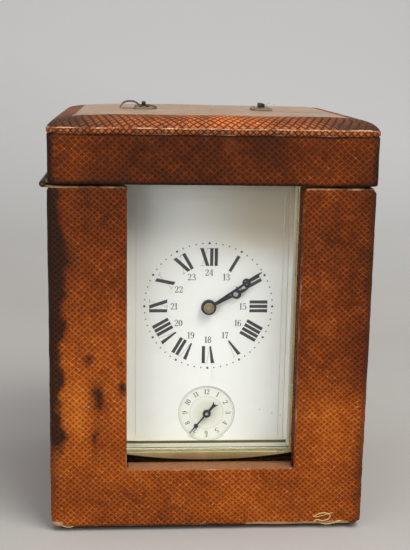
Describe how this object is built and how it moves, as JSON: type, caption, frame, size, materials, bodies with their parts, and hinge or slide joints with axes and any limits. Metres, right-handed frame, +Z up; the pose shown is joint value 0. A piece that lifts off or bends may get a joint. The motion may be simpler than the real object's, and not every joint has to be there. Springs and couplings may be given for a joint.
{
  "type": "officer clock",
  "caption": "Small brass carriage clock with alarm in a leather travelling case: hinged lid, front window, glazed clock case, enamel dial, geared hands and a working train.",
  "frame": {"origin": "middle of the underside", "axes": "+Z up, dial faces -Y, +X to the right as seen from the front"},
  "size_m": [0.1163, 0.0958, 0.1496],
  "materials": {
    "case_leather": "embossed diamond net, waxed, worn at the edges",
    "strap_leather": "dark, cracked",
    "case_wood": "bare",
    "felt": "felt",
    "velvet": "velvet pile",
    "gilt_brass": "gilt, satin",
    "brass": "grained",
    "enamel": "glossy white enamel",
    "glass": "clear, bevelled",
    "blued_steel": "dark blued",
    "steel": "polished",
    "bell_steel": "turned"
  },
  "bodies": {
    "root": {"alarm_bell": "bell_steel", "back_pad": "velvet", "back_plate": "brass", "bail_pivots": "gilt_brass", "bail_posts": "gilt_brass", "base_felt": "felt", "case_carcass": "case_wood", "case_leather": "case_leather", "catch_pivot": "brass", "clock_base": "gilt_brass", "clock_top": "gilt_brass", "corner_pillars": "gilt_brass", "dial_plate": "enamel", "floor_pad": "velvet", "front_glass": "glass", "front_plate": "brass", "front_sill": "gilt_brass", "hinge_leaf_body": "brass", "hinge_pin": "steel", "plate_pillars": "brass", "platform": "steel", "platform_cocks": "brass", "rear_door_frame": "gilt_brass", "rear_door_glass": "glass", "side_glasses": "glass", "side_pad_left": "velvet", "side_pad_right": "velvet", "top_glass": "glass"},
    "lid": {"lid_carcass": "case_wood", "lid_leather": "case_leather", "lid_lining": "velvet", "hinge_leaf_lid": "brass", "catch_stud": "brass", "strap_staple_left": "brass", "strap_staple_right": "brass", "strap_stub": "strap_leather"},
    "catch": {"catch_hook": "brass"},
    "bail": {"bail_handle": "gilt_brass"},
    "minute_hand": {"cannon_pinion": "steel", "minute_hand": "blued_steel", "hand_nut": "brass"},
    "centre": {"centre_wheel": "brass"},
    "hour_hand": {"hour_wheel": "brass", "hour_hand": "blued_steel"},
    "minute_wheel": {"minute_wheel": "brass"},
    "going_barrel": {"time_barrel": "brass", "time_mainspring": "steel"},
    "third": {"third_wheel": "brass"},
    "contrate": {"contrate_wheel": "brass"},
    "escape": {"escape_wheel": "brass"},
    "lever": {"pallet_lever": "steel"},
    "balance": {"balance_wheel": "brass", "hairspring": "blued_steel"},
    "winding_arbor": {"time_winding_arbor": "steel"},
    "alarm_setting": {"alarm_arbor": "steel", "alarm_hand": "blued_steel"},
    "alarm_barrel": {"alarm_barrel": "brass"},
    "alarm_star": {"alarm_wheel": "brass"},
    "hammer": {"alarm_hammer": "steel"}
  },
  "joints": [
    {"name": "lid_hinge", "type": "hinge", "parent": "root", "child": "lid", "pos_m": [-0.057, 0, 0.1233], "axis": [0, -1, 0], "range_deg": [0, 110]},
    {"name": "catch_swing", "type": "hinge", "parent": "root", "child": "catch", "pos_m": [0.0565, 0, 0.11], "axis": [1, 0, 0], "range_deg": [0, 180]},
    {"name": "bail_fold", "type": "hinge", "parent": "root", "child": "bail", "pos_m": [0, -0.004, 0.1384], "axis": [1, 0, 0], "range_deg": [0, 90]},
    {"name": "minute_spin", "type": "hinge", "parent": "root", "child": "minute_hand", "pos_m": [0.0002, -0.033, 0.0785], "axis": [0, 1, 0], "continuous": true},
    {"name": "hour_spin", "type": "hinge", "parent": "root", "child": "hour_hand", "pos_m": [0.0002, -0.032, 0.0785], "axis": [0, 1, 0], "continuous": true},
    {"name": "minute_wheel_spin", "type": "hinge", "parent": "root", "child": "minute_wheel", "pos_m": [-0.00489, -0.026, 0.07341], "axis": [0, 1, 0], "continuous": true},
    {"name": "centre_spin", "type": "hinge", "parent": "root", "child": "centre", "pos_m": [0.0002, 0.005, 0.0785], "axis": [0, 1, 0], "continuous": true},
    {"name": "barrel_spin", "type": "hinge", "parent": "root", "child": "going_barrel", "pos_m": [-0.0108, 0, 0.06517], "axis": [0, 1, 0], "continuous": true},
    {"name": "third_spin", "type": "hinge", "parent": "root", "child": "third", "pos_m": [0.0067, 0, 0.08712], "axis": [0, 1, 0], "continuous": true},
    {"name": "contrate_spin", "type": "hinge", "parent": "root", "child": "contrate", "pos_m": [0.0002, 0, 0.0936], "axis": [0, 1, 0], "continuous": true},
    {"name": "escape_spin", "type": "hinge", "parent": "root", "child": "escape", "pos_m": [0.0002, -0.01257, 0.105], "axis": [0, 0, 1], "continuous": true},
    {"name": "lever_rock", "type": "hinge", "parent": "root", "child": "lever", "pos_m": [0.0002, -0.0059, 0.1075], "axis": [0, 0, 1], "range_deg": [-5, 5]},
    {"name": "balance_swing", "type": "hinge", "parent": "root", "child": "balance", "pos_m": [0.0002, 0.0012, 0.111], "axis": [0, 0, 1], "range_deg": [-135, 135], "stiffness_Nm_per_rad": 0.000012},
    {"name": "winding_spin", "type": "hinge", "parent": "root", "child": "winding_arbor", "pos_m": [-0.0108, 0.01, 0.06517], "axis": [0, 1, 0], "continuous": true},
    {"name": "alarm_set_spin", "type": "hinge", "parent": "root", "child": "alarm_setting", "pos_m": [0.0002, -0.031, 0.03845], "axis": [0, 1, 0], "continuous": true},
    {"name": "alarm_barrel_spin", "type": "hinge", "parent": "root", "child": "alarm_barrel", "pos_m": [0.0115, 0, 0.045], "axis": [0, 1, 0], "continuous": true},
    {"name": "alarm_star_spin", "type": "hinge", "parent": "root", "child": "alarm_star", "pos_m": [0.0115, 0, 0.05588], "axis": [0, 1, 0], "continuous": true},
    {"name": "hammer_swing", "type": "hinge", "parent": "root", "child": "hammer", "pos_m": [0.024, 0, 0.06], "axis": [0, -1, 0], "range_deg": [0, 4], "stiffness_Nm_per_rad": 0.02, "springref_deg": -2.86}
  ],
  "couplings": [
    {"joint": "hour_spin", "follows": "minute_spin", "ratio": 0.083333},
    {"joint": "minute_wheel_spin", "follows": "minute_spin", "ratio": -0.33333},
    {"joint": "barrel_spin", "follows": "contrate_spin", "ratio": -0.002381},
    {"joint": "centre_spin", "follows": "contrate_spin", "ratio": 0.016667},
    {"joint": "third_spin", "follows": "contrate_spin", "ratio": -0.13333},
    {"joint": "escape_spin", "follows": "contrate_spin", "ratio": -10},
    {"joint": "bail_fold", "follows": "lid_hinge", "ratio": 0.8},
    {"joint": "alarm_star_spin", "follows": "alarm_barrel_spin", "ratio": -7.5}
  ]
}
